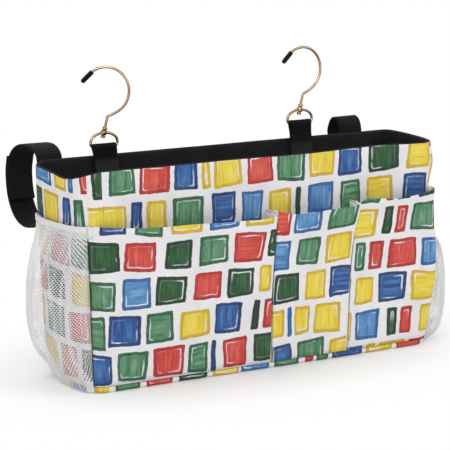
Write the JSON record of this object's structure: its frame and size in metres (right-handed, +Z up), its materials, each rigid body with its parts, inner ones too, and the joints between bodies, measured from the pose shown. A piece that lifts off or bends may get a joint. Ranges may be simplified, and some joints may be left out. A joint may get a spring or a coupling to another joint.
{
  "type": "bedside caddy",
  "caption": "Fabric bedside organizer with an open main compartment, front pockets, net end pockets, swivel hanging hooks and hook-and-loop rail straps.",
  "frame": {"origin": "centre of the base's underside", "axes": "+X along the length, to the right seen from the front pockets; +Y to the back, towards the bed rail; +Z up"},
  "size_m": [0.427, 0.1831, 0.284],
  "materials": {
    "print": "off-white woven canvas printed with painted squares",
    "board": "pressed stiffening board, hidden between cover and lining",
    "lining": "black nonwoven lining",
    "net": "white polyester net",
    "elastic": "white elastic binding",
    "webbing": "black polyester webbing",
    "hook_and_loop": "black hook-and-loop tape",
    "metal": "rose-gold plated steel wire, polished",
    "rubber": "black rubber sleeve"
  },
  "bodies": {
    "bag": {"cover_front": "print", "cover_right_end": "print", "cover_back": "print", "cover_left_end": "print", "cover_base": "print", "front_pocket_left": "print", "front_pocket_middle": "print", "front_pocket_right": "print", "board_front": "board", "board_right_end": "board", "board_back": "board", "board_left_end": "board", "board_base": "board", "lining_wall": "lining", "lining_base": "lining", "net_pocket_left": "net", "net_pocket_right": "net", "net_binding_left": "elastic", "net_binding_right": "elastic", "hook_tab_left": "webbing", "strap_anchor_left": "webbing", "strap_upper_left": "webbing", "hook_tab_right": "webbing", "strap_anchor_right": "webbing", "strap_upper_right": "webbing", "strap_loop_patch_left": "hook_and_loop", "strap_loop_patch_right": "hook_and_loop"},
    "ring_left": {"d_ring_left": "metal"},
    "hook_left": {"hook_wire_left": "metal", "hook_collar_left": "metal", "hook_sleeve_left": "rubber"},
    "flap_left": {"strap_flap_left": "webbing", "strap_hook_patch_left": "hook_and_loop"},
    "ring_right": {"d_ring_right": "metal"},
    "hook_right": {"hook_wire_right": "metal", "hook_collar_right": "metal", "hook_sleeve_right": "rubber"},
    "flap_right": {"strap_flap_right": "webbing", "strap_hook_patch_right": "hook_and_loop"}
  },
  "joints": [
    {"name": "ring_pivot_left", "type": "hinge", "parent": "bag", "child": "ring_left", "pos_m": [-0.123, 0.03815, 0.2048], "axis": [1, 0, 0], "range_deg": [-80, 80]},
    {"name": "hook_swivel_left", "type": "hinge", "parent": "ring_left", "child": "hook_left", "pos_m": [-0.123, 0.03815, 0.2169], "axis": [0.1948, -0.1125, 0.9744], "continuous": true},
    {"name": "strap_flap_left", "type": "hinge", "parent": "bag", "child": "flap_left", "pos_m": [-0.173, 0.054, 0.135], "axis": [-1, 0, 0], "range_deg": [0, 75]},
    {"name": "ring_pivot_right", "type": "hinge", "parent": "bag", "child": "ring_right", "pos_m": [0.0845, 0.03815, 0.2112], "axis": [1, 0, 0], "range_deg": [-80, 80]},
    {"name": "hook_swivel_right", "type": "hinge", "parent": "ring_right", "child": "hook_right", "pos_m": [0.0845, 0.03815, 0.2233], "axis": [0.2249, 0.0039, 0.9744], "continuous": true},
    {"name": "strap_flap_right", "type": "hinge", "parent": "bag", "child": "flap_right", "pos_m": [0.1485, 0.04926, 0.135], "axis": [-1, 0, 0], "range_deg": [0, 75]}
  ]
}
